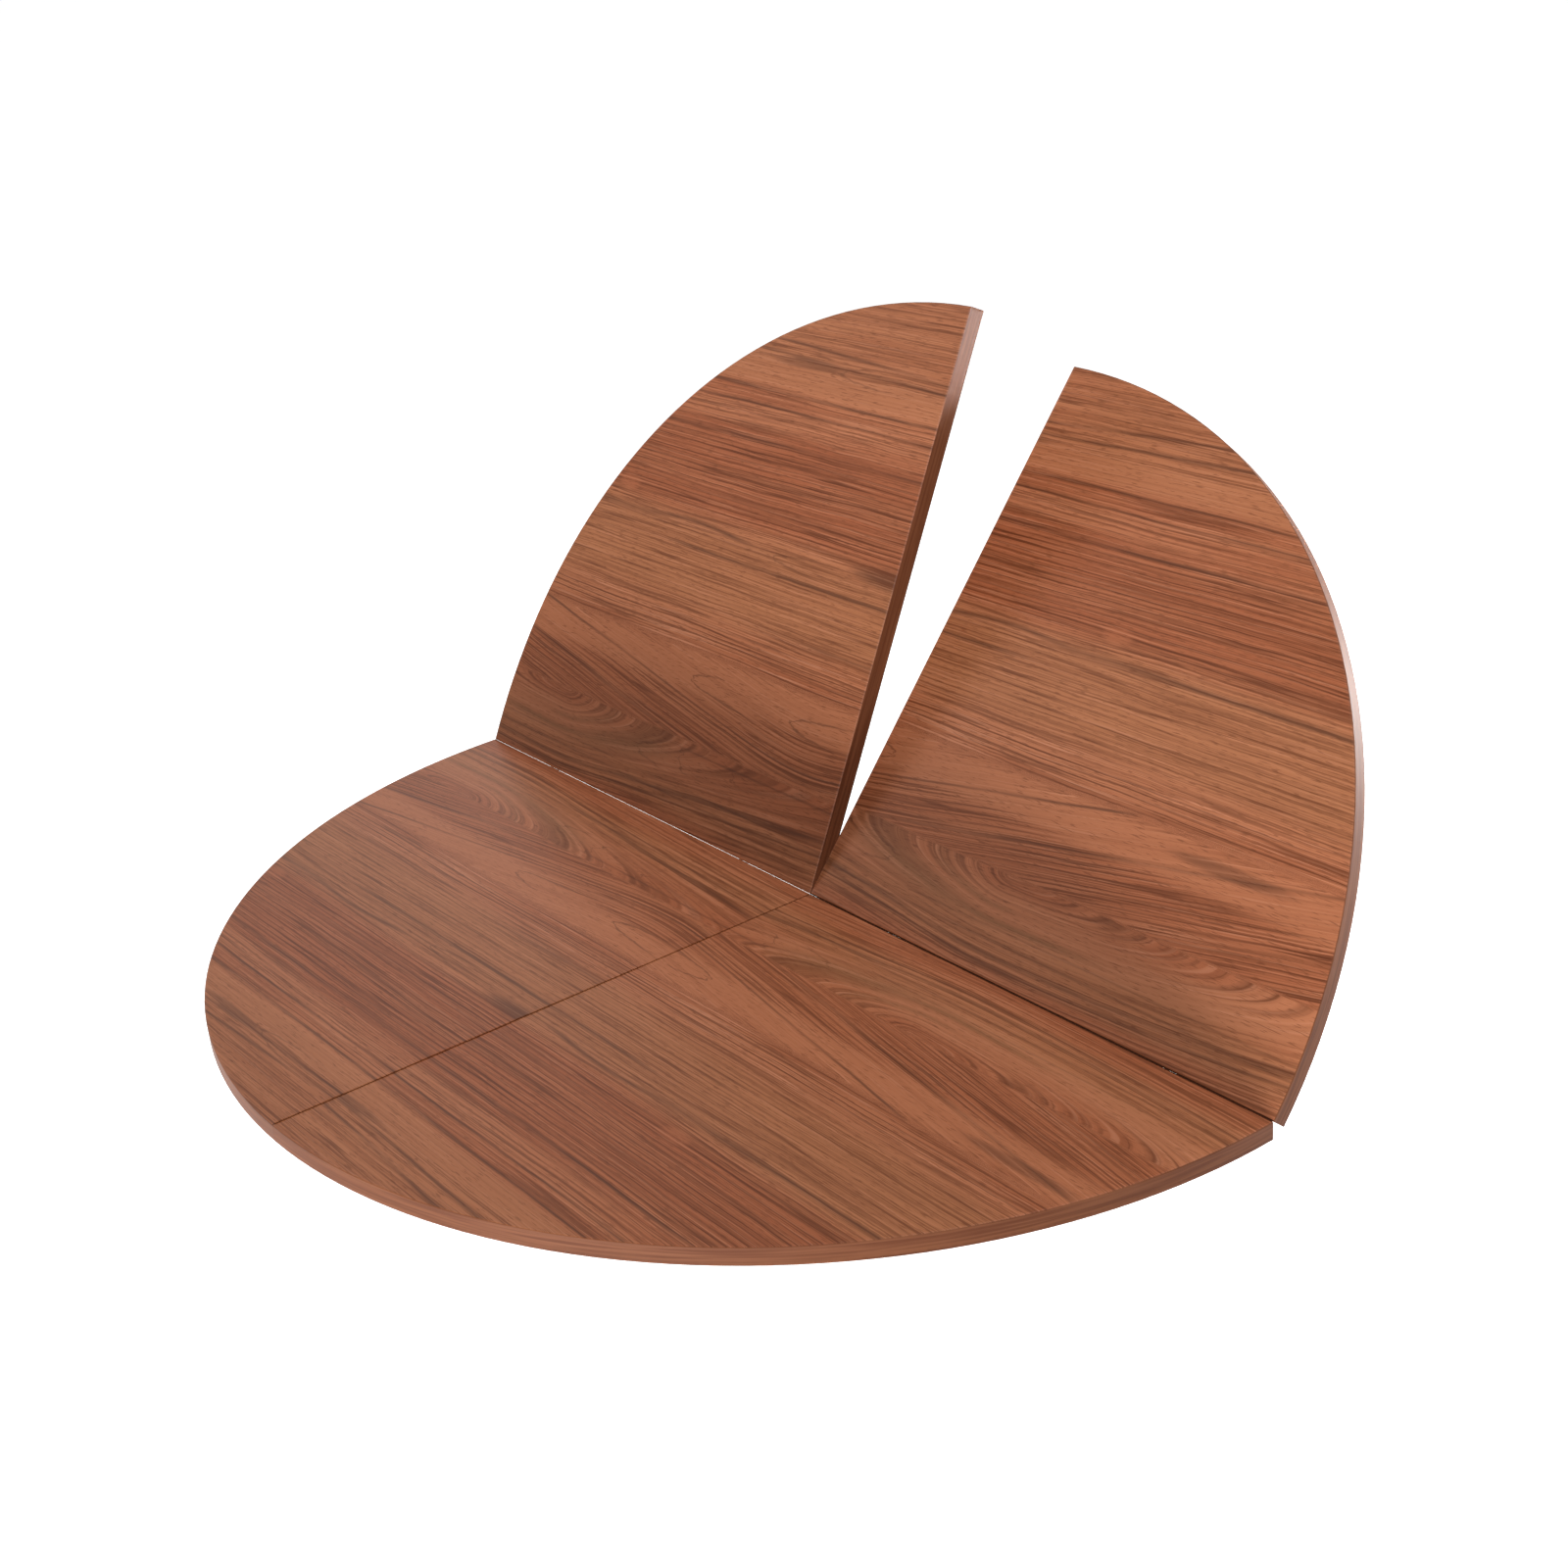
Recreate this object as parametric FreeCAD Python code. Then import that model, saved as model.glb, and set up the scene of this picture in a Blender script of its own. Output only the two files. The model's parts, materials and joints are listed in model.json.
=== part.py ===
import FreeCAD, Part
import math
import os

# Folding round table top: four quarter-round boards, edge banded all round. The two back boards fold
# up over the front ones about the fold line, along X. The two front boards fold down, underside to
# underside, about the split, along Y. Both turns run on barrel hinges sunk into the board edges.
# Everything is drawn about the centre of the disc, and moved last so that the origin is the middle of
# the footprint, on the plane of the undersides. Millimetres and degrees.

# Boards
TOP_RADIUS = 600.0
BOARD_THICKNESS = 18.0
BAND_THICKNESS = 2.0
EDGE_ROUNDING = 1.4
JOINT_ROUNDING = 0.15
JOINT_GAP = 0.1
LEFT_RAISE_ANGLE = 65.2
RIGHT_RAISE_ANGLE = 49.6

# Barrel hinges: two on each joint line
HINGE_NEAR = 120.0
HINGE_FAR = 480.0
AXIS_RISE = 0.05
FULL_FOLD_ANGLE = 180.0
BARREL_DIAMETER = 14.0
BARREL_WALL = 0.8
BARREL_END_WALL = 1.8
BARREL_FIT = 0.05
BARREL_CHAMFER = 0.8
BORE_BOTTOM_GAP = 0.6
GROOVE_COUNT = 3
GROOVE_DEPTH = 0.4
GROOVE_WIDTH = 1.2
GROOVE_PITCH = 3.2
GROOVE_START = 4.5

# Half-moon leaves, by their place in the pack, and the pins that drive them
LEAF_PLACES = {"front": 0, "middle": 1, "back": 2}
LEAF_THICKNESS = 1.9
LEAF_SIDE_GAP = 0.12
LEAF_EDGE_GAP = 0.3
LEAF_TIP_ROUNDING = 0.8
PIN_RADIUS = 0.8
PIN_SLIDE_FIT = 0.08
PIN_EDGE_DISTANCE = 2.8
PIN_ANGLE = 13.0
PIN_SEAT = 2.6
PIN_END_GAP = 0.2

# Clamp screws that spread the barrels in their bores
SCREW_HEAD_RADIUS = 1.3
SCREW_SHANK_RADIUS = 0.8
SCREW_LENGTH = 9.0
SCREW_SLOT_WIDTH = 0.5
SCREW_SLOT_DEPTH = 0.4

# Sizes that follow from the ones above
EDGE = JOINT_GAP / 2
BARREL_RADIUS = BARREL_DIAMETER / 2
AXIS_DEPTH = AXIS_RISE + BOARD_THICKNESS / 2
STAGES = len(LEAF_PLACES) + 1
STAGE_ANGLE = FULL_FOLD_ANGLE / STAGES
LEAF_PITCH = LEAF_THICKNESS + LEAF_SIDE_GAP
SLOT_HALF_WIDTH = (len(LEAF_PLACES) * LEAF_PITCH + LEAF_SIDE_GAP) / 2
SLOT_HALF_HEIGHT = math.sqrt((BARREL_RADIUS - BARREL_WALL) ** 2 - SLOT_HALF_WIDTH ** 2)
SLOT_OUTER = AXIS_DEPTH + SLOT_HALF_HEIGHT
SLOT_INNER = AXIS_DEPTH - SLOT_HALF_HEIGHT
SLOT_REACH = math.sqrt(SLOT_OUTER ** 2 - SLOT_INNER ** 2)
LEAF_OUTER = SLOT_OUTER - LEAF_EDGE_GAP
LEAF_INNER = SLOT_INNER + LEAF_EDGE_GAP
LEAF_REACH = math.sqrt(LEAF_OUTER ** 2 - LEAF_INNER ** 2)
PIN_CIRCLE = LEAF_OUTER - PIN_EDGE_DISTANCE
BARREL_END = SLOT_REACH + BARREL_END_WALL
BORE_END = BARREL_END + BORE_BOTTOM_GAP
CHEEK_MIDDLE = (SLOT_HALF_WIDTH + BARREL_RADIUS) / 2

HALF_TURN = 180.0
FULL_TURN = 360.0
ORIGIN = FreeCAD.Vector(0, 0, 0)
ALONG_X = FreeCAD.Vector(1, 0, 0)
ALONG_Y = FreeCAD.Vector(0, 1, 0)
ALONG_Z = FreeCAD.Vector(0, 0, 1)


# Boards and their edge bands, drawn in the quadrant where x and y are positive
def quarter(inset):
    """Quarter-round prism whose edges lie inset inside the finished outline."""
    near = EDGE + inset
    radius = TOP_RADIUS - inset
    far = math.sqrt(radius ** 2 - near ** 2)
    middle = radius / math.sqrt(2)
    corner = FreeCAD.Vector(near, near, 0)
    right = FreeCAD.Vector(far, near, 0)
    left = FreeCAD.Vector(near, far, 0)
    sides = [
        Part.makeLine(corner, right),
        Part.Arc(right, FreeCAD.Vector(middle, middle, 0), left).toShape(),
        Part.makeLine(left, corner),
    ]
    return Part.Face(Part.Wire(sides)).extrude(ALONG_Z * BOARD_THICKNESS)


def rounded(blank):
    """The prism with its edges eased: more at the rim, finely along the joints."""
    level = [edge for edge in blank.Edges if edge.BoundBox.ZLength < EDGE_ROUNDING]
    round_the_rim = [edge for edge in level if edge.Curve.TypeId == "Part::GeomCircle"]
    eased = blank.makeFillet(EDGE_ROUNDING, round_the_rim)
    level = [edge for edge in eased.Edges if edge.BoundBox.ZLength < JOINT_ROUNDING]
    along_joints = [edge for edge in level if edge.Curve.TypeId == "Part::GeomLine"]
    return eased.makeFillet(JOINT_ROUNDING, along_joints)


def bores(on_split):
    """Drilled holes for the hinge barrels, in the fold edge and, when asked, in the split edge."""
    holes = []
    radius = BARREL_RADIUS + BARREL_FIT
    for place in (HINGE_NEAR, HINGE_FAR):
        start = FreeCAD.Vector(place, 0, BOARD_THICKNESS / 2)
        holes.append(Part.makeCylinder(radius, BORE_END, start, ALONG_Y))
        if on_split:
            start = FreeCAD.Vector(0, place, BOARD_THICKNESS / 2)
            holes.append(Part.makeCylinder(radius, BORE_END, start, ALONG_X))
    return holes


def quarter_panel(on_split):
    """Core board and its three bands: round the rim, along the fold and along the split."""
    blank = rounded(quarter(0))
    core = blank.common(quarter(BAND_THICKNESS))
    frame = blank.cut(core)
    inside_rim = Part.makeCylinder(TOP_RADIUS - BAND_THICKNESS, BOARD_THICKNESS)
    straight = frame.common(inside_rim)
    along_fold = Part.makeBox(TOP_RADIUS, EDGE + BAND_THICKNESS, BOARD_THICKNESS)
    holes = bores(on_split)
    return {
        "board": core.cut(holes),
        "rim_band": frame.cut(inside_rim),
        "fold_band": straight.common(along_fold).cut(holes),
        "split_band": straight.cut(along_fold).cut(holes),
    }


def in_quadrant(shape, side_x, side_y):
    """Copy of a shape carried from the first quadrant to the one with the given signs."""
    if side_x < 0:
        shape = shape.mirror(ORIGIN, ALONG_X)
    if side_y < 0:
        shape = shape.mirror(ORIGIN, ALONG_Y)
    return shape


# One barrel hinge, closed, about the turning axis along X: front half at -Y, back half at +Y.
# The axis is virtual. Places on the leaves are given by radius and by angle from straight down.
def on_arc(x, radius, angle):
    turn = math.radians(angle)
    return FreeCAD.Vector(x, radius * math.sin(turn), -radius * math.cos(turn))


def segment(x, outer, inner, reach, thickness):
    """Half-moon plate: the disc of the outer radius below a level chord."""
    left = FreeCAD.Vector(x, -reach, -inner)
    right = FreeCAD.Vector(x, reach, -inner)
    arc = Part.Arc(left, FreeCAD.Vector(x, 0, -outer), right).toShape()
    face = Part.Face(Part.Wire([arc, Part.makeLine(right, left)]))
    return face.extrude(ALONG_X * thickness)


def arc_slot(x, start, end):
    """Round-ended slot along the pin circle, cut through one leaf."""
    half = PIN_RADIUS + PIN_SLIDE_FIT
    outer = PIN_CIRCLE + half
    inner = PIN_CIRCLE - half
    middle = (start + end) / 2
    band = Part.Wire([
        Part.Arc(on_arc(x, outer, start), on_arc(x, outer, middle), on_arc(x, outer, end)).toShape(),
        Part.makeLine(on_arc(x, outer, end), on_arc(x, inner, end)),
        Part.Arc(on_arc(x, inner, end), on_arc(x, inner, middle), on_arc(x, inner, start)).toShape(),
        Part.makeLine(on_arc(x, inner, start), on_arc(x, outer, start)),
    ])
    slot = Part.Face(band).extrude(ALONG_X * LEAF_THICKNESS)
    ends = [
        Part.makeCylinder(half, LEAF_THICKNESS, on_arc(x, PIN_CIRCLE, angle), ALONG_X)
        for angle in (start, end)
    ]
    return slot.fuse(ends)


def leaf_x(place):
    """Where the leaf starts, counted across the slot."""
    return -SLOT_HALF_WIDTH + LEAF_SIDE_GAP + LEAF_PLACES[place] * LEAF_PITCH


def leaf(place, cuts):
    """One half-moon leaf with its tips rounded."""
    plate = segment(leaf_x(place), LEAF_OUTER, LEAF_INNER, LEAF_REACH, LEAF_THICKNESS)
    tips = [edge for edge in plate.Edges if edge.BoundBox.YLength < LEAF_TIP_ROUNDING]
    return plate.makeFillet(LEAF_TIP_ROUNDING, tips).cut(cuts)


def pin(x_start, x_end, angle):
    return Part.makeCylinder(PIN_RADIUS, x_end - x_start, on_arc(x_start, PIN_CIRCLE, angle), ALONG_X)


def screw_blank():
    """Countersunk clamp screw before its driver slot is cut, its head flush with the barrel's face."""
    profile = Part.makePolygon([
        FreeCAD.Vector(0, 0, 0),
        FreeCAD.Vector(SCREW_HEAD_RADIUS, 0, 0),
        FreeCAD.Vector(SCREW_SHANK_RADIUS, SCREW_SHANK_RADIUS - SCREW_HEAD_RADIUS, 0),
        FreeCAD.Vector(SCREW_SHANK_RADIUS, -SCREW_LENGTH, 0),
        FreeCAD.Vector(0, -SCREW_LENGTH, 0),
        FreeCAD.Vector(0, 0, 0),
    ])
    screw = Part.Face(profile).revolve(ORIGIN, ALONG_Y, FULL_TURN)
    return screw.translated(FreeCAD.Vector(CHEEK_MIDDLE, -EDGE, -AXIS_DEPTH))


def driver_slot():
    """Straight slot across the screw's head."""
    corner = FreeCAD.Vector(
        CHEEK_MIDDLE - SCREW_SLOT_WIDTH / 2,
        -EDGE - SCREW_SLOT_DEPTH,
        -AXIS_DEPTH - SCREW_HEAD_RADIUS,
    )
    return Part.makeBox(SCREW_SLOT_WIDTH, SCREW_SLOT_DEPTH, 2 * SCREW_HEAD_RADIUS, corner)


def barrel_blank():
    """Round barrel of the front half, with its ring grooves and a chamfered inner end."""
    ring = BARREL_RADIUS - GROOVE_DEPTH
    points = [(0, EDGE), (BARREL_RADIUS, EDGE)]
    for index in range(GROOVE_COUNT):
        start = GROOVE_START + index * GROOVE_PITCH
        end = start + GROOVE_WIDTH
        points += [(BARREL_RADIUS, start), (ring, start), (ring, end), (BARREL_RADIUS, end)]
    points += [(BARREL_RADIUS, BARREL_END - BARREL_CHAMFER), (BARREL_RADIUS - BARREL_CHAMFER, BARREL_END)]
    points += [(0, BARREL_END), (0, EDGE)]
    profile = Part.makePolygon([FreeCAD.Vector(radius, -depth, 0) for radius, depth in points])
    return Part.Face(profile).revolve(ORIGIN, ALONG_Y, FULL_TURN).translated(ALONG_Z * -AXIS_DEPTH)


def front_half():
    """Barrel, drive pin and clamp screw of the front half. The slot takes the leaf pack."""
    slot = segment(-SLOT_HALF_WIDTH, SLOT_OUTER, SLOT_INNER, SLOT_REACH, 2 * SLOT_HALF_WIDTH)
    drive_end = leaf_x("front") + LEAF_THICKNESS - PIN_END_GAP
    drive = pin(-SLOT_HALF_WIDTH - PIN_SEAT, drive_end, -PIN_ANGLE)
    screw = screw_blank()
    return {
        "barrels": barrel_blank().cut([slot, drive, screw]),
        "pins": drive,
        "screws": screw.cut(driver_slot()),
    }


def leaf_pack():
    """The three leaves and the middle pin, each with the share of the fold that it turns."""
    middle_pin = pin(leaf_x("front") + PIN_END_GAP, leaf_x("back") + LEAF_THICKNESS - PIN_END_GAP, 0)
    cuts = {
        "front": [
            arc_slot(leaf_x("front"), -PIN_ANGLE - STAGE_ANGLE, -PIN_ANGLE),
            arc_slot(leaf_x("front"), 0, STAGE_ANGLE),
        ],
        "middle": [middle_pin],
        "back": [
            arc_slot(leaf_x("back"), -STAGE_ANGLE, 0),
            arc_slot(leaf_x("back"), PIN_ANGLE, PIN_ANGLE + STAGE_ANGLE),
        ],
    }
    share = {place: (index + 1) / STAGES for place, index in LEAF_PLACES.items()}
    pack = {place + "_leaves": (leaf(place, cuts[place]), share[place]) for place in LEAF_PLACES}
    pack["middle_pins"] = (middle_pin, share["middle"])
    return pack


def hinge():
    """Shapes of one closed hinge by name, with the share of the fold that each one turns."""
    parts = leaf_pack()
    for name, shape in front_half().items():
        parts["front_" + name] = (shape, 0)
        opposite = shape.copy()
        opposite.rotate(ORIGIN, ALONG_Z, HALF_TURN)
        parts["back_" + name] = (opposite, 1)
    return parts


# Assembly in the pose of a half-raised top
FOLD_AXIS = FreeCAD.Vector(0, 0, BOARD_THICKNESS + AXIS_RISE)
SPLIT_AXIS = FreeCAD.Vector(0, 0, -AXIS_RISE)
RAISE_ANGLE = {"left": LEFT_RAISE_ANGLE, "right": RIGHT_RAISE_ANGLE}
SIDE = {"left": -1, "right": 1}


def raised(shape, angle):
    """Copy of a shape turned up about the fold axis."""
    turned = shape.copy()
    turned.rotate(FOLD_AXIS, ALONG_X, angle)
    return turned


def back_reach(side):
    """How far the raised board reaches behind the fold line, at the rounded lower edge of its rim."""
    turn = math.radians(RAISE_ANGLE[side])
    along = TOP_RADIUS - EDGE_ROUNDING
    below_axis = AXIS_RISE + BOARD_THICKNESS - EDGE_ROUNDING
    return along * math.cos(turn) + below_axis * math.sin(turn) + EDGE_ROUNDING


def fold_hinges(side):
    """Both hinges of one back board, each piece turned by its share of the raise."""
    places = [FreeCAD.Vector(SIDE[side] * place, 0, 0) + FOLD_AXIS for place in (HINGE_NEAR, HINGE_FAR)]
    return {
        side + "_hinge_" + name: [raised(shape.translated(place), share * RAISE_ANGLE[side]) for place in places]
        for name, (shape, share) in hinge().items()
    }


def split_hinges():
    """Both hinges of the split, upside down, so that the front boards fold down. Front half to the left."""
    places = [FreeCAD.Vector(0, -place, 0) + SPLIT_AXIS for place in (HINGE_NEAR, HINGE_FAR)]
    group = {}
    for name, (shape, share) in hinge().items():
        turned = shape.copy()
        turned.rotate(ORIGIN, ALONG_X + ALONG_Y, HALF_TURN)
        name = name.replace("front", "left").replace("back", "right")
        group["split_hinge_" + name] = [turned.translated(place) for place in places]
    return group


nodes = {}
front_panel = quarter_panel(True)
back_panel = quarter_panel(False)
for side in SIDE:
    for name, shape in front_panel.items():
        nodes["front_" + side + "_" + name] = [in_quadrant(shape, SIDE[side], -1)]
    for name, shape in back_panel.items():
        nodes["back_" + side + "_" + name] = [raised(in_quadrant(shape, SIDE[side], 1), RAISE_ANGLE[side])]
    nodes.update(fold_hinges(side))
nodes.update(split_hinges())

footprint_middle = (max(back_reach(side) for side in SIDE) - TOP_RADIUS) / 2
to_origin = FreeCAD.Vector(0, -footprint_middle, 0)

os.makedirs("parts", exist_ok=True)
for name, shapes in nodes.items():
    solids = [solid.translated(to_origin) for shape in shapes for solid in shape.Solids]
    whole = solids[0] if len(solids) == 1 else Part.makeCompound(solids)
    whole.exportStep("parts/" + name + ".step")
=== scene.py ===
import json
import math

import bpy
from mathutils import Matrix, Vector


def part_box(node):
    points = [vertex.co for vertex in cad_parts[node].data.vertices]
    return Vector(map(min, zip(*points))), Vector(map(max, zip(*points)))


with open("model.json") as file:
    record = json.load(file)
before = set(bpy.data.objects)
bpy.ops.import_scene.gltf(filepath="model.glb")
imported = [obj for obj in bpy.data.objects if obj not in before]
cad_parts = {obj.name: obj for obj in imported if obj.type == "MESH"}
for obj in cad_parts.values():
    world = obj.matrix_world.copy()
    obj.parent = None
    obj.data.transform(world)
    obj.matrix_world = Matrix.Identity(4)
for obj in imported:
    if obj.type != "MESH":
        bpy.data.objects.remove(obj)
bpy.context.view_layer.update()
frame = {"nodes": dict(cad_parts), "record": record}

joints = {joint["name"]: joint for joint in frame["record"]["behaviour"]["joints"]}
folds = {"left": joints["left_fold"], "right": joints["right_fold"]}
fold_y = folds["left"]["pos_m"][1]
fold_z = folds["left"]["pos_m"][2]
top_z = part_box("front_left_board")[1][2]
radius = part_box("front_right_rim_band")[1][0]

# Walnut decor: the tones of the printed face and of the edge bands.
RED_BROWN = (0.270, 0.081, 0.034, 1.0)
PALE_BROWN = (0.367, 0.133, 0.062, 1.0)
SALMON = (0.480, 0.206, 0.115, 1.0)
OLIVE_BROWN = (0.317, 0.124, 0.055, 1.0)
FLAME_BROWN = (0.350, 0.134, 0.064, 1.0)
OLIVE_DARK = (0.160, 0.067, 0.028, 1.0)
DARK_GRAIN = (0.092, 0.025, 0.009, 1.0)
BLACK_GRAIN = (0.052, 0.018, 0.009, 1.0)
BAND_DARK = (0.103, 0.031, 0.012, 1.0)
BAND_PALE = (0.165, 0.058, 0.025, 1.0)
# Painted shade: the dark of the shadowed gap in the closed joints, laid on the bands beside the fold and
# the split.
GAP_SHADE_BROWN = (0.040, 0.014, 0.008, 1.0)

# The print's own layout in metres: u runs with the grain, v runs away from the fold. The flame's
# blunt and long ends and the lens's slope are in v to the metre of u.
FLAME_CENTRE = -0.480
FLAME_BASE = 0.113
FLAME_BLUNT = 0.46
FLAME_EASE = 0.20
FLAME_LONG = 0.135
FLAME_SOFT = 0.001
FLAME_FADE = (FLAME_BASE - 0.034, FLAME_BASE - 0.004)
FLAME_HEART = (0.050, 0.075)
LENS_CENTRE = -0.060
LENS_BASE = 0.208
LENS_SLOPE = 0.170
LENS_BEND = 0.060
LENS_SOFT = 0.003

# The lens and the straight grain take their streaks this far on from the flame's, so that none repeat.
LENS_OFFSET = 0.5
STRAIGHT_OFFSET = 1.0

# Zones across the sheet: start and end in v, and how soft their edges are.
FOLD_STRIPES = (0.113, 0.160, 0.005)
RIM_STRIPES = (0.352, 0.440, 0.008)
SMOOTH_FIGURE = (0.166, 0.204, 0.006)
SMOOTH_RIM = (0.500, 0.528, 0.006)
THREAD_ZONE = (0.206, 0.248, 0.010)
FOLD_OLIVE = (0.030, 0.066, 0.012)
OLIVE_HEART = (0.250, 0.345, 0.018)
RIM_OLIVE = (0.500, 0.620, 0.012)

# Two of the olive zones are weaker than the heart, and the stripes near the fold thin out along u.
FOLD_OLIVE_SHARE = 0.8
RIM_OLIVE_SHARE = 0.6
THINNING = (-0.58, -0.42)
THINNED = 0.65

# Streaks: length along the grain, width across it, the seed, and the detail where it isn't the usual.
SWAY = (0.30, 0.11, 1.7)
RIPPLE = (0.060, 0.030, 4.2)
RAGGED = (0.060, 0.006, 6.1)
BANDS = (0.55, 0.024, 2.3)
STRIPES = (0.40, 0.0065, 7.9, 3.0)
HAIRS = (0.20, 0.0017, 5.1, 3.0)
PORES = (0.015, 0.0011, 8.8, 1.0)
BREAKS = (0.13, 0.0080, 6.6)
THREADS = (0.80, 0.0100, 9.3)
WISPS = (0.50, 0.0052, 3.1)
DRIFT = (0.90, 0.034, 5.7)
RULED_BREAKS = (0.22, 0.0060, 2.9)
JITTER = (0.014, 0.005, 3.7)
STREAK_MIDDLE = 0.5
STREAK_ROUGHNESS = 0.55
USUAL_DETAIL = 2.0

# How wide the wandering streaks swing: in metres, and in radians where the ruled lines drift.
SWAY_SWING = 0.007
RIPPLE_SWING = 0.0018
RAGGED_SWING = 0.030
JITTER_SWING = 0.034
DRIFT_SWING = 16.0

# The streak values between which a layer of the print comes in or goes out.
BAND_TURN = (0.30, 0.70)
STRIPE_TURN = (0.34, 0.52)
HAIR_TURN = (0.34, 0.52)
PALE_HAIR_TURN = (0.52, 0.70)
PORE_TURN = (0.30, 0.42)
THREAD_TURN = (0.30, 0.56)
WISP_TURN = (0.46, 0.66)
RULED_TURN = (0.34, 0.60)
DRAWN_TURN = (0.30, 0.60)

# Threads and wisps: how far from the streaks' middle they are full, and how far they fade out.
THREAD_HALF = (0.006, 0.034)
WISP_HALF = (0.008, 0.032)

# Ruled lines: their spacing in metres, and the heights of a wave between which one comes in.
RULING = 0.0056
RULED_CREST = (0.50, 0.95)

# What stays of a broken line at its breaks.
RULED_FAINT = 0.30
ARCH_FAINT = 0.30
DRAWN_FAINT = 0.35

# How strongly each layer covers what lies under it.
STRAIGHT_COVER = 0.55
SMOOTH_COVER = 0.55
FLAME_COVER = 0.66
OLIVE_COVER = 0.75
DRAWN_COVER = 0.75
PORE_COVER = 0.50

# How far the lens evens out the tone bands, and how pale it is instead.
LENS_EVEN = 0.5
LENS_PALE = 0.28

# How strongly the fine grain covers: everywhere, and how much more in a zone or on the stripes.
STRIPE_COVER = (0.15, 0.17)
HAIR_COVER = (0.32, 0.16)
RULED_COVER = (0.38, 0.42)
RULED_THREAD_COVER = 0.38
PALE_HAIR_COVER = (0.36, 0.50)
THREAD_COVER = (0.62, 0.20)
WISP_COVER = (0.42, 0.20)
SMEAR_COVER = (0.25, 0.80)

# The flame's olive arches: place and half width, then start, end and softness in u, and strength.
OLIVE_ARCHES = (
    ((0.0470, 0.0140), (-0.440, -0.275, 0.055), 1.0),
    ((0.0455, 0.0060), (-0.600, -0.400, 0.060), 1.0),
    ((0.0310, 0.0050), (-0.500, -0.375, 0.025), 0.8),
)

# Dark lines drawn along the grain: place, half width, strength.
FLAME_LINES = ((0.0765, 0.0035, 0.80), (0.0850, 0.0030, 0.56))
LENS_LINES = ((0.0885, 0.0024, 1.0), (0.1330, 0.0030, 0.6))
RIM_LINES = ((0.443, 0.0030, 1.0), (0.479, 0.0025, 1.0), (0.497, 0.0028, 1.0))
FOLD_LINES = ((0.050, 0.0024, 0.56), (0.062, 0.0020, 0.42))

# Dark lines on part of the sheet: place, half width, strength, and where in u they come in.
PART_LINES = (
    (0.103, 0.0024, 0.7, (-0.300, -0.200)),
    (0.255, 0.0024, 0.7, (-0.220, -0.140)),
    (0.313, 0.0035, 1.0, (-0.420, -0.300)),
)

# One line that dips on its way and then goes out, and two that slant.
DIPPED_LINE = (0.334, 0.0045)
DIPPED_END = (-0.270, -0.210)
DIP_CENTRE = -0.330
DIP_HALF = 0.132
DIP_DEPTH = 0.007
SLANTED_LINES = ((0.03, 0.531, 0.0035), (0.05, 0.540, 0.0030))
SLANTED_STRENGTH = 0.9

# Grain lines that turn back in a tip: the tip's u and v, how fast it opens, its reach up and down,
# and its strength.
TIPS = (
    (-0.268, 0.178, 380.0, 0.017, 0.010, 0.70),
    (-0.096, 0.174, 420.0, 0.011, 0.014, 0.70),
    (-0.258, 0.093, 90.0, 0.015, 0.013, 0.60),
    (-0.162, 0.097, 160.0, 0.007, 0.007, 0.70),
    (-0.330, 0.086, 240.0, 0.013, 0.010, 0.45),
    (-0.190, 0.330, 900.0, 0.008, 0.009, 0.55),
    (-0.160, 0.531, 700.0, 0.010, 0.009, 0.55),
)
TIP_HALF = 0.0019
TIP_SOFT = 0.003

# Dark smears: middle in u and v, half size along and across the grain, and strength.
SMEARS = (
    (0.000, 0.343, 0.080, 0.0140, 1.0),
    (-0.215, 0.532, 0.070, 0.0065, 0.8),
    (-0.705, 0.190, 0.090, 0.0085, 0.7),
)
OVAL_SOFT = (0.1, 1.0)

# The fine grain keeps off the smooth wood, and off a pale knot given as the smears are.
SMOOTH_CLEAR = 0.75
KNOT = (-0.465, 0.361, 0.024, 0.012)
KNOT_CLEAR = 0.8

# One print on all four boards, turned over from board to board as the sheets were cut.
PRINT_SHIFT = {
    "front_left": (0.0, 0.0),
    "front_right": (-0.200, 0.0),
    "back_left": (0.0, 0.020),
    "back_right": (-0.250, 0.015),
}
HAND = {"left": 1.0, "right": -1.0}

# How far the painted shade of the joint gaps, a dark line beside the fold and beside the split, reaches
# onto each face.
GAP_SHADE_LINES = {
    "front_left": (0.0001, 0.0006),
    "front_right": (0.0012, 0.0006),
    "back_left": (0.0001, 0.0001),
    "back_right": (0.0012, 0.0001),
}
GAP_SHADE_SOFT = 0.2

# Satin boards: gloss, least roughness and its span. Pores are pressed in by this depth, and hairs by
# this share of it.
BOARD_GLOSS = 0.08
BOARD_ROUGHNESS = 0.40
BOARD_SPAN = 0.10
PORE_DEPTH = 0.0001
PORE_STRENGTH = 0.12
HAIR_SHARE = 0.5

# Edge bands. Those in the closed joints are dull, so that the joints don't mirror the floor.
BAND_GLOSS = {
    "front": {"rim": 0.12, "fold": 0.0, "split": 0.0},
    "back": {"rim": 0.12, "fold": 0.0, "split": 0.30},
}
BAND_ROUGHNESS = 0.42
BAND_SPAN = 0.08
BAND_STREAKS = (9.0, 9.0, 420.0)
BAND_STREAK_TURN = (0.30, 0.70)

# The cosines between a band's face and its board's, from its own streaks to the board's print.
LEVEL_TURN = (0.60, 0.95)

# Metals of the hinges: colour, least roughness, and the endings of the pieces they go on.
METALS = {
    "turned_brass": ((0.72, 0.50, 0.22, 1.0), 0.22, ("_barrels",)),
    "stamped_steel": ((0.46, 0.46, 0.47, 1.0), 0.32, ("_leaves", "_pins")),
    "screw_steel": ((0.30, 0.30, 0.31, 1.0), 0.30, ("_screws",)),
}
POLISH_SCALE = 900.0
POLISH_SPAN = 0.12

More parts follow.
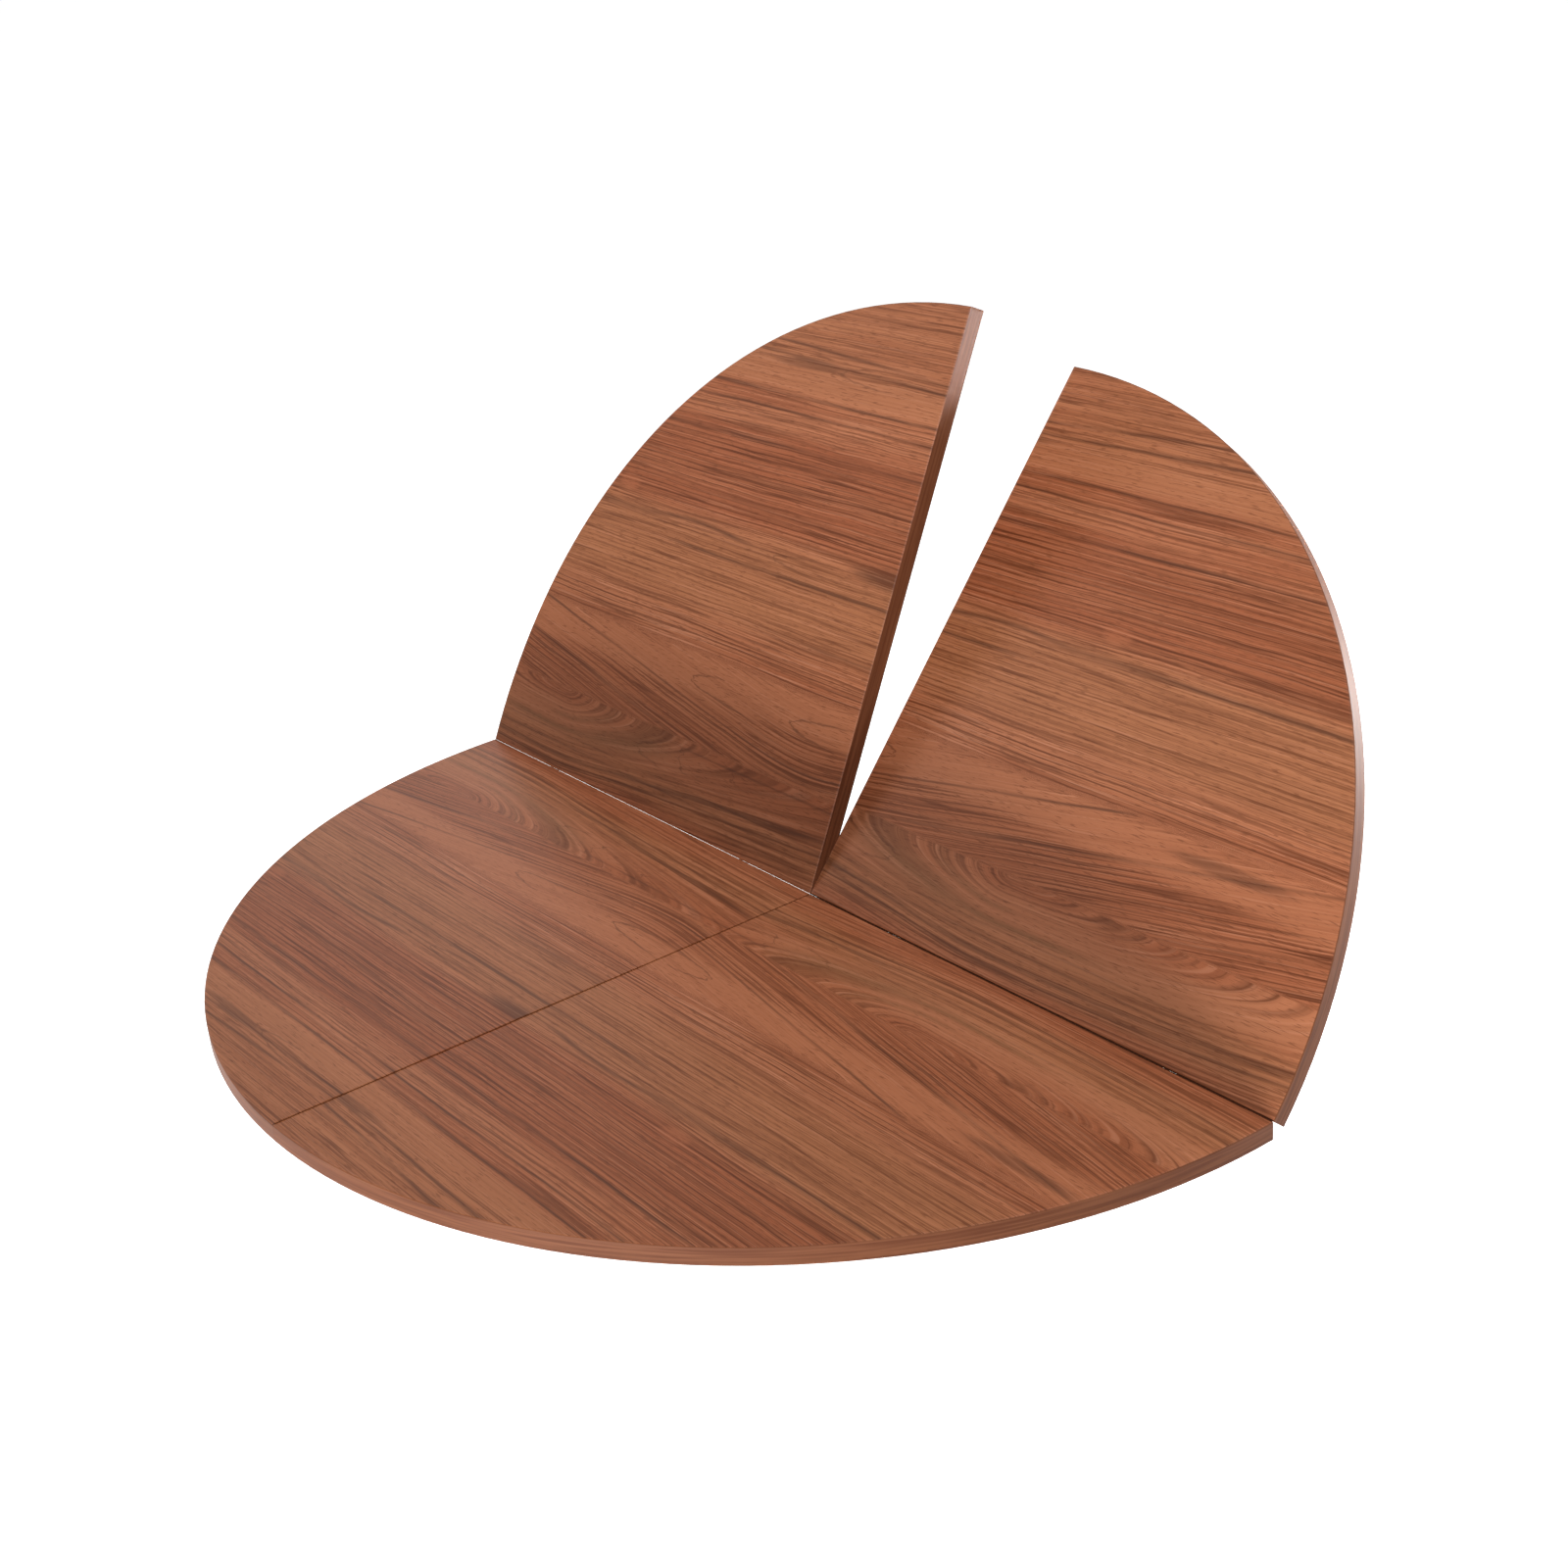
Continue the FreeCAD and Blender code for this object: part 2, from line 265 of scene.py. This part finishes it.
# Floor: pale, far enough below for the front split to swing clear.
FLOOR_CLEARANCE = 0.03
FLOOR_SIZE = 60.0
FLOOR_PAINT = (0.93, 0.93, 0.93, 1.0)
FLOOR_GLOW = 0.82

# The surround's colour, and its strength as light.
WHITE = (1.0, 1.0, 1.0, 1.0)
SURROUND = 0.20

# Lamps: place, the point aimed at, size, power in watts, and spread in degrees. The back lamp has a
# grid, which narrows its beam.
LAMPS = {
    "top_lamp": ((1.2, 0.3, 3.0), (0.1, 0.1, 0.2), (1.4, 1.4), 75.0, 180.0),
    "left_lamp": ((-2.2, -1.4, 2.0), (0.0, 0.0, 0.2), (1.2, 1.2), 23.0, 180.0),
    "low_lamp": ((0.5, -2.4, -0.42), (0.0, 0.1, 0.35), (1.2, 0.4), 43.0, 180.0),
    "low_right_lamp": ((1.6, -2.2, -0.50), (0.0, 0.1, 0.35), (1.4, 0.20), 33.0, 180.0),
    "sheen_lamp": ((-3.0, 1.4, 1.5), (-0.3, -0.1, 0.0), (1.6, 1.2), 10.0, 180.0),
    "back_lamp": ((2.2, 2.2, 0.25), (0.0, 0.33, 0.53), (0.3, 0.7), 1.1, 20.0),
    "rim_lamp": ((1.1, 3.2, 0.45), (0.4, 0.3, 0.25), (1.4, 0.3), 120.0, 180.0),
}

# Camera at the photograph's angle. Its distance and target are in radii of the top, and the target
# is measured from the middle of the fold.
AZIMUTH = math.radians(53.45)
ELEVATION = math.radians(23.84)
ROLL = math.radians(-4.75)
CAMERA_DISTANCE = 3.808
CAMERA_TARGET = (-0.0361, -0.0087, 0.1942)
CAMERA_LENS = 52.95
CAMERA_SENSOR = 36.0

# A Mix node's sockets for colours, which share their names with its other sockets.
MIX_FACTOR = 0
MIX_UNDER = 6
MIX_OVER = 7
MIX_RESULT = 2


class Value:
    """One output socket in a node tree. Arithmetic on values adds Math nodes to the tree."""

    def __init__(self, tree, socket=None):
        self.tree = tree
        self.socket = socket

    def node(self, kind, settings, inputs, output=0):
        """Adds a node: its settings first, then the values or links of its sockets."""
        made = self.tree.nodes.new(kind)
        for name, setting in settings.items():
            setattr(made, name, setting)
        for name, value in inputs.items():
            if isinstance(value, Value):
                self.tree.links.new(value.socket, made.inputs[name])
            else:
                made.inputs[name].default_value = value
        return Value(self.tree, made.outputs[output])

    def math(self, operation, *others):
        inputs = dict(enumerate((self, *others)))
        return self.node("ShaderNodeMath", {"operation": operation}, inputs)

    def __add__(self, other):
        return self.math("ADD", other)

    __radd__ = __add__

    def __sub__(self, other):
        return self.math("SUBTRACT", other)

    def __rsub__(self, other):
        return self * -1 + other

    def __mul__(self, other):
        return self.math("MULTIPLY", other)

    __rmul__ = __mul__

    def __truediv__(self, other):
        return self.math("DIVIDE", other)

    def __pow__(self, power):
        return self.math("POWER", power)

    def root(self):
        return self.math("SQRT")

    def size(self):
        return self.math("ABSOLUTE")

    def high(self, other):
        return self.math("MAXIMUM", other)

    def low(self, other):
        return self.math("MINIMUM", other)

    def rise(self, start, end):
        """0 below start, 1 above end, a smooth step between."""
        ends = {"Value": self, "From Min": start, "From Max": end}
        return self.node("ShaderNodeMapRange", {"interpolation_type": "SMOOTHSTEP"}, ends)

    def ridge(self, middle, half):
        """1 on the middle, falling smoothly to 0 at half either side."""
        return 1 - (self - middle).size().rise(0.0, half)

    def between(self, start, end, soft):
        """1 from start to end, with soft edges."""
        return self.rise(start - soft, start + soft) * (1 - self.rise(end - soft, end + soft))

    def at_least(self, least):
        """Values from 0 to 1 brought into the range from least to 1."""
        return least + (1 - least) * self

    def cover(self, everywhere, more):
        """A cover that is the same everywhere, and stronger by more where this value is 1."""
        return everywhere + self * more


def fresh(name):
    """A new material with its tree emptied: the material, a Value on its tree and the output node."""
    material = bpy.data.materials.new(name)
    material.use_nodes = True
    material.node_tree.nodes.clear()
    output = material.node_tree.nodes.new("ShaderNodeOutputMaterial")
    return material, Value(material.node_tree), output


def finish_surface(pen, output, shader):
    """Links the shader to the output's surface."""
    pen.tree.links.new(shader.socket, output.inputs["Surface"])


def noise(pen, place, scale, detail=USUAL_DETAIL, **more):
    """Noise from 0 to 1, with scale spots to the unit."""
    inputs = {"Vector": place, "Scale": scale, "Detail": detail, **more}
    return pen.node("ShaderNodeTexNoise", {"noise_dimensions": "3D"}, inputs)


def streaks(pen, along, across, length, width, seed, detail=USUAL_DETAIL):
    """Noise drawn out along the grain: about length long and width across, from 0 to 1."""
    place = pen.node("ShaderNodeCombineXYZ", {}, {"X": along / length, "Y": across / width, "Z": seed})
    return noise(pen, place, 1.0, detail, Roughness=STREAK_ROUGHNESS)


def wander(pen, along, across, swing, streak):
    """Streaks that push both ways, by half the swing at most."""
    return (streaks(pen, along, across, *streak) - STREAK_MIDDLE) * swing


def veins(pen, along, across, half, streak):
    """Thin lines where streaks pass their middle: full up to the first half, and gone at the second."""
    return 1 - (streaks(pen, along, across, *streak) - STREAK_MIDDLE).size().rise(*half)


def lines(value, rows):
    """Lines where the value passes each row's place, with the row's half width and strength."""
    return sum(value.ridge(place, half) * strength for place, half, strength in rows)


def oval(u, v, middle_u, middle_v, half_u, half_v):
    """1 in the middle of an oval, falling smoothly to 0 at its edge."""
    reach = ((u - middle_u) / half_u) ** 2.0 + ((v - middle_v) / half_v) ** 2.0
    return 1 - reach.rise(*OVAL_SOFT)


def highest(values):
    """The highest of several values, place by place."""
    top = values[0]
    for value in values[1:]:
        top = top.high(value)
    return top


def tint(pen, mask, under, over):
    """The colour over laid on the colour under where the mask is 1."""
    colours = {MIX_FACTOR: mask, MIX_UNDER: under, MIX_OVER: over}
    return pen.node("ShaderNodeMix", {"data_type": "RGBA"}, colours, output=MIX_RESULT)


def on_board(pen, turn, scale, shift):
    """Object coordinates turned and shifted into a board's own plane."""
    place = pen.node("ShaderNodeTexCoord", {}, {}, output="Object")
    mapping = {"Vector": place, "Rotation": (turn, 0.0, 0.0), "Scale": scale, "Location": shift}
    return pen.node("ShaderNodeMapping", {"vector_type": "POINT"}, mapping)


def apart(pen, place):
    """The three coordinates of a place."""
    return [pen.node("ShaderNodeSeparateXYZ", {}, {"Vector": place}, output=axis) for axis in "XYZ"]


def grain_figure(u, across):
    """The flame, the lens, where the two lie, and the line that the grain follows at each place.

    The flame's arches are half ellipses that stand on a base line, blunt at one end and long at the
    other, and ease into lines along the grain. The lens's lines slope down to a point on theirs. The
    rest of the sheet is straight."""
    flame_u = u - FLAME_CENTRE
    blunt_u = flame_u.high(0.0)
    flame_run = blunt_u * FLAME_BLUNT / (blunt_u / FLAME_EASE + 1.0) + flame_u.low(0.0) * FLAME_LONG
    flame_rise = (FLAME_BASE - across).high(0.0)
    flame = (flame_rise ** 2.0 + flame_run ** 2.0).root()
    lens_rise = (LENS_BASE - across).high(0.0)
    lens = lens_rise + LENS_SLOPE * ((u - LENS_CENTRE) ** 2.0 + LENS_BEND ** 2).root()
    in_flame = 1 - across.rise(FLAME_BASE - FLAME_SOFT, FLAME_BASE + FLAME_SOFT)
    below_lens = across.rise(LENS_BASE - LENS_SOFT, LENS_BASE + LENS_SOFT)
    in_lens = (1 - in_flame) * (1 - below_lens)
    line = flame * in_flame + (lens + LENS_OFFSET) * in_lens + (across + STRAIGHT_OFFSET) * below_lens
    return flame, lens, in_flame, in_lens, line


def sheet_zones(pen, u, across, flame):
    """Where the sheet has dense straight stripes, smooth wood, the flame's inside, and olive wood."""
    near_fold = across.between(*FOLD_STRIPES) * (1.0 - THINNED * u.rise(*THINNING))
    straight = near_fold.high(across.between(*RIM_STRIPES))
    smooth = across.between(*SMOOTH_FIGURE).high(across.between(*SMOOTH_RIM))
    ragged = across + wander(pen, u, across, RAGGED_SWING, RAGGED)
    inside = (1 - ragged.rise(*FLAME_FADE)) * (1 - flame.rise(*FLAME_HEART))
    fold_olive = across.between(*FOLD_OLIVE) * FOLD_OLIVE_SHARE
    rim_olive = across.between(*RIM_OLIVE) * RIM_OLIVE_SHARE
    olive = highest([across.between(*OLIVE_HEART), fold_olive, rim_olive])
    return straight, smooth, inside, olive


def straight_lines(u, v, across):
    """The dark lines of the straight grain: whole ones, ones on part of the sheet, one with a dip and
    two that slant."""
    drawn = lines(across, RIM_LINES) + lines(v, FOLD_LINES)
    for place, half, strength, start in PART_LINES:
        drawn = drawn + across.ridge(place, half) * u.rise(*start) * strength
    dip = u.ridge(DIP_CENTRE, DIP_HALF) * DIP_DEPTH
    drawn = drawn + (across - dip).ridge(*DIPPED_LINE) * (1 - u.rise(*DIPPED_END))
    for slant, place, half in SLANTED_LINES:
        drawn = drawn + (across + u * slant).ridge(place, half) * SLANTED_STRENGTH
    return drawn


def tip_lines(pen, u, v, across):
    """Grain lines that turn back: parabolas along the grain, each drawn only near its tip."""
    jitter = wander(pen, u, v, JITTER_SWING, JITTER)
    drawn = []
    for tip_u, tip_v, opening, reach_up, reach_down, strength in TIPS:
        rise = across - tip_v
        slope = ((rise * 2 * opening) ** 2.0 + 1.0).root()
        curve = ((u + jitter - tip_u - rise ** 2.0 * opening) / slope).ridge(0.0, TIP_HALF)
        drawn.append(curve * rise.between(-reach_up, reach_down, TIP_SOFT) * strength)
    return highest(drawn)


def ruled_lines(pen, u, line):
    """Fine lines at an even spacing, which drift together and break here and there."""
    drift = wander(pen, u, line, DRIFT_SWING, DRIFT)
    ruled = (line * (2 * math.pi / RULING) + drift).math("SINE").rise(*RULED_CREST)
    return ruled * streaks(pen, u, line, *RULED_BREAKS).rise(*RULED_TURN).at_least(RULED_FAINT)


def walnut_print():
    """The print's node group: a place on the sheet goes in, and its colour, hairs and pores come out."""
    group = bpy.data.node_groups.new("walnut_print", "ShaderNodeTree")
    group.interface.new_socket("Place", in_out="INPUT", socket_type="NodeSocketVector")
    group.interface.new_socket("Face", in_out="OUTPUT", socket_type="NodeSocketColor")
    group.interface.new_socket("Hairs", in_out="OUTPUT", socket_type="NodeSocketFloat")
    group.interface.new_socket("Pores", in_out="OUTPUT", socket_type="NodeSocketFloat")
    pen = Value(group)
    u, v, _ = apart(pen, pen.node("NodeGroupInput", {}, {}, output="Place"))
    across = v + wander(pen, u, v, SWAY_SWING, SWAY) + wander(pen, u, v, RIPPLE_SWING, RIPPLE)
    flame, lens, in_flame, in_lens, line = grain_figure(u, across)
    straight, smooth, inside, olive = sheet_zones(pen, u, across, flame)

    # Bands, stripes, hairs, threads and wisps follow the grain's line. Pores run along the sheet.
    bands = streaks(pen, u, line, *BANDS)
    stripes = streaks(pen, u, line, *STRIPES)
    hairs = streaks(pen, u, line, *HAIRS)
    pores = streaks(pen, u, across, *PORES)
    breaks = streaks(pen, u, line, *BREAKS)
    threads = veins(pen, u, line, THREAD_HALF, THREADS) * breaks.rise(*THREAD_TURN)
    wisps = veins(pen, u, line, WISP_HALF, WISPS) * (1 - breaks.rise(*WISP_TURN))

    # The flame's olive arches, and the dark lines of the whole figure.
    rings = [flame.ridge(*ring) * u.between(*span) * strength for ring, span, strength in OLIVE_ARCHES]
    arches = highest(rings) * in_flame
    drawn = lines(flame, FLAME_LINES) * in_flame + lines(lens, LENS_LINES) * in_lens
    drawn = drawn + straight_lines(u, v, across)
    drawn = drawn.low(1.0) * breaks.rise(*DRAWN_TURN).at_least(DRAWN_FAINT)
    drawn = drawn.high(tip_lines(pen, u, v, across))

    # The tones from the ground up, each layer laid on the ones before it.
    fine = (1 - smooth.high(inside) * SMOOTH_CLEAR) * (1 - oval(u, v, *KNOT) * KNOT_CLEAR)
    salmon = across.between(*THREAD_ZONE)
    ruled_cover = straight.cover(*RULED_COVER) + salmon * RULED_THREAD_COVER
    layers = [
        (straight * STRAIGHT_COVER, RED_BROWN),
        (smooth * SMOOTH_COVER, PALE_BROWN),
        (inside * FLAME_COVER, FLAME_BROWN),
        (olive * OLIVE_COVER, OLIVE_BROWN),
        (arches * stripes.at_least(ARCH_FAINT), OLIVE_DARK),
    ]
    for *place, strength in SMEARS:
        layers.append((oval(u, across, *place) * stripes.cover(*SMEAR_COVER) * strength, BLACK_GRAIN))
    layers += [
        ((1 - stripes.rise(*STRIPE_TURN)) * straight.cover(*STRIPE_COVER) * fine, DARK_GRAIN),
        ((1 - hairs.rise(*HAIR_TURN)) * straight.cover(*HAIR_COVER) * fine, DARK_GRAIN),
        (ruled_lines(pen, u, line) * ruled_cover * fine, DARK_GRAIN),
        (hairs.rise(*PALE_HAIR_TURN) * salmon.cover(*PALE_HAIR_COVER), SALMON),
        (threads * straight.cover(*THREAD_COVER) * fine, DARK_GRAIN),
        (wisps * straight.cover(*WISP_COVER) * fine, DARK_GRAIN),
        (drawn * DRAWN_COVER, BLACK_GRAIN),
        ((1 - pores.rise(*PORE_TURN)) * PORE_COVER, DARK_GRAIN),
    ]
    ground = bands.rise(*BAND_TURN) * (1 - in_lens * LENS_EVEN) + in_lens * LENS_PALE
    face = tint(pen, ground, RED_BROWN, PALE_BROWN)
    for mask, tone in layers:
        face = tint(pen, mask, face, tone)
    result = group.nodes.new("NodeGroupOutput")
    for name, value in {"Face": face, "Hairs": hairs, "Pores": pores}.items():
        group.links.new(value.socket, result.inputs[name])
    return group


def printed_grain(pen, sheet, place):
    """The print's colour, hairs and pores at a place on the sheet."""
    face = pen.node("ShaderNodeGroup", {"node_tree": sheet}, {"Place": place}, output="Face")
    outputs = face.socket.node.outputs
    return face, Value(pen.tree, outputs["Hairs"]), Value(pen.tree, outputs["Pores"])


def walnut(name, sheet, turn, scale, shift):
    """Melamine face with the walnut print, satin, with pores pressed into it."""
    material, pen, output = fresh(name)
    face, hairs, pores = printed_grain(pen, sheet, on_board(pen, turn, scale, shift))
    relief = {"Height": pores + hairs * HAIR_SHARE, "Distance": PORE_DEPTH, "Strength": PORE_STRENGTH}
    normal = pen.node("ShaderNodeBump", {}, relief)
    surface = {"Base Color": face, "Roughness": BOARD_ROUGHNESS + hairs * BOARD_SPAN, "Normal": normal}
    surface["Specular IOR Level"] = BOARD_GLOSS
    finish_surface(pen, output, pen.node("ShaderNodeBsdfPrincipled", {}, surface))
    return material


def edge_banding(name, sheet, turn, scale, shift, sheet_v, gap_shade_reach, gloss):
    """Wood-look edge band: streaks on its outer face, and the board's print where it lies level with it.

    sheet_v is where the fold lies on the sheet, and gap_shade_reach is how far the face shows painted
    shade of the joint gap beside the fold and the split."""
    material, pen, output = fresh(name)
    place = on_board(pen, turn, scale, shift)
    face, _, _ = printed_grain(pen, sheet, place)
    stretched = {"Vector": place, "Scale": BAND_STREAKS}
    streak = noise(pen, pen.node("ShaderNodeMapping", {"vector_type": "POINT"}, stretched), 1.0)
    outside = tint(pen, streak.rise(*BAND_STREAK_TURN), BAND_DARK, BAND_PALE)
    u, v, _ = apart(pen, place)
    fold_shade_reach, split_shade_reach = gap_shade_reach
    # Painted shade of the joint gaps: a dark line on the face beside the split and beside the fold.
    for away, reach in (((u - shift[0]).size(), split_shade_reach), ((v - sheet_v).size(), fold_shade_reach)):
        clear = away.rise(reach * (1 - GAP_SHADE_SOFT), reach * (1 + GAP_SHADE_SOFT))
        face = tint(pen, clear, GAP_SHADE_BROWN, face)
    facing = pen.node("ShaderNodeTexCoord", {}, {}, output="Normal")
    upright = (0.0, math.sin(turn), math.cos(turn))
    dot = {"operation": "DOT_PRODUCT"}
    level = pen.node("ShaderNodeVectorMath", dot, {0: facing, 1: upright}, output="Value")
    face = tint(pen, level.size().rise(*LEVEL_TURN), outside, face)
    surface = {"Base Color": face, "Roughness": BAND_ROUGHNESS + streak * BAND_SPAN}
    surface["Specular IOR Level"] = gloss
    finish_surface(pen, output, pen.node("ShaderNodeBsdfPrincipled", {}, surface))
    return material


def machined_metal(name, colour, roughness):
    """Turned or stamped metal with a light uneven polish."""
    material, pen, output = fresh(name)
    polish = noise(pen, pen.node("ShaderNodeTexCoord", {}, {}, output="Object"), POLISH_SCALE)
    surface = {"Base Color": colour, "Metallic": 1.0, "Roughness": roughness + polish * POLISH_SPAN}
    finish_surface(pen, output, pen.node("ShaderNodeBsdfPrincipled", {}, surface))
    return material


def dress(node, material):
    """Gives a piece its one material."""
    mesh = frame["nodes"][node].data
    mesh.materials.clear()
    mesh.materials.append(material)


def lay_print(row, side, shift_u, shift_v):
    """The turn, scale and shift that bring a board's face at rest onto the print's sheet."""
    if row == "front":
        return 0.0, (HAND[side], -1.0, 1.0), (shift_u, fold_y + shift_v, -top_z)
    raised = math.radians(-folds[side]["range_deg"][0])
    plane_y = fold_y * math.cos(raised) + fold_z * math.sin(raised)
    plane_z = fold_z * math.cos(raised) - fold_y * math.sin(raised)
    return -raised, (HAND[side], 1.0, 1.0), (shift_u, shift_v - plane_y, -plane_z)


def seen_directly(pen):
    """1 on rays from the camera, or from it by way of a mirror or glass."""
    kinds = ("Is Camera Ray", "Is Glossy Ray", "Is Transmission Ray")
    return highest([pen.node("ShaderNodeLightPath", {}, {}, output=kind) for kind in kinds])


def pale_floor():
    """Pale paint, bright where it is seen, and clear from below."""
    material, pen, output = fresh("pale_floor")
    paint = pen.node("ShaderNodeBsdfDiffuse", {}, {"Color": FLOOR_PAINT})
    glow = pen.node("ShaderNodeEmission", {}, {"Color": WHITE, "Strength": FLOOR_GLOW})
    bright = pen.node("ShaderNodeAddShader", {}, {0: paint, 1: glow})
    pale = pen.node("ShaderNodeMixShader", {}, {0: seen_directly(pen), 1: paint, 2: bright})
    clear = pen.node("ShaderNodeBsdfTransparent", {}, {})
    under = pen.node("ShaderNodeNewGeometry", {}, {}, output="Backfacing")
    finish_surface(pen, output, pen.node("ShaderNodeMixShader", {}, {0: under, 1: pale, 2: clear}))
    return material


def white_surround():
    """A world that lights evenly and a little, and is white where it is seen."""
    world = bpy.data.worlds.new("studio")
    world.use_nodes = True
    world.node_tree.nodes.clear()
    pen = Value(world.node_tree)
    light = pen.node("ShaderNodeBackground", {}, {"Color": WHITE, "Strength": SURROUND})
    white = pen.node("ShaderNodeBackground", {}, {"Color": WHITE, "Strength": 1.0})
    mixed = pen.node("ShaderNodeMixShader", {}, {0: seen_directly(pen), 1: light, 2: white})
    output = world.node_tree.nodes.new("ShaderNodeOutputWorld")
    finish_surface(pen, output, mixed)
    return world


def soft_lamp(name, place, aim, size, power, spread):
    """A flat lamp turned towards the point it is aimed at."""
    lamp = bpy.data.lights.new(name, "AREA")
    lamp.spread = math.radians(spread)
    lamp.shape = "RECTANGLE"
    lamp.size, lamp.size_y = size
    lamp.energy = power
    holder = bpy.data.objects.new(name, lamp)
    scene.collection.objects.link(holder)
    holder.visible_camera = False
    holder.location = place
    holder.rotation_mode = "QUATERNION"
    holder.rotation_quaternion = (Vector(aim) - Vector(place)).to_track_quat("-Z", "Y")


scene = bpy.context.scene

# The boards and their bands.
sheet = walnut_print()
for board, (shift_u, shift_v) in PRINT_SHIFT.items():
    row, side = board.split("_")
    laid = lay_print(row, side, shift_u, shift_v)
    dress(f"{board}_board", walnut(f"{board}_walnut", sheet, *laid))
    for edge, gloss in BAND_GLOSS[row].items():
        name = f"{board}_{edge}_banding"
        band = edge_banding(name, sheet, *laid, shift_v, GAP_SHADE_LINES[board], gloss)
        dress(f"{board}_{edge}_band", band)

# The hinges.
for name, (colour, roughness, endings) in METALS.items():
    metal = machined_metal(name, colour, roughness)
    for node in frame["nodes"]:
        if node.endswith(endings):
            dress(node, metal)

# The floor: one square, from corner to corner.
half = FLOOR_SIZE / 2
floor_z = -(radius + FLOOR_CLEARANCE)
corners = [(x * half, y * half, floor_z) for x, y in ((-1, -1), (1, -1), (1, 1), (-1, 1))]
floor_mesh = bpy.data.meshes.new("floor")
floor_mesh.from_pydata(corners, [], [(0, 1, 2, 3)])
floor_mesh.materials.append(pale_floor())
floor = bpy.data.objects.new("floor", floor_mesh)
scene.collection.objects.link(floor)

# The studio: an even white surround and soft lamps.
scene.world = white_surround()
for name, lamp in LAMPS.items():
    soft_lamp(name, *lamp)

# The camera: turned about the top, tilted and rolled.
target = Vector((0.0, fold_y, top_z)) + Vector(CAMERA_TARGET) * radius
ahead = Vector((math.sin(AZIMUTH), -math.cos(AZIMUTH), 0.0))
back = ahead * math.cos(ELEVATION) + Vector((0.0, 0.0, math.sin(ELEVATION)))
sideways = (-back).cross(Vector((0.0, 0.0, 1.0))).normalized()
upwards = sideways.cross(-back)
right = math.cos(ROLL) * sideways + math.sin(ROLL) * upwards
above = math.cos(ROLL) * upwards - math.sin(ROLL) * sideways
camera_data = bpy.data.cameras.new("camera")
camera_data.lens = CAMERA_LENS
camera_data.sensor_width = CAMERA_SENSOR
camera = bpy.data.objects.new("camera", camera_data)
scene.collection.objects.link(camera)
stand = Matrix.Translation(target + back * CAMERA_DISTANCE * radius)
camera.matrix_world = stand @ Matrix((right, above, back)).transposed().to_4x4()
scene.camera = camera
scene.view_settings.view_transform = "Standard"
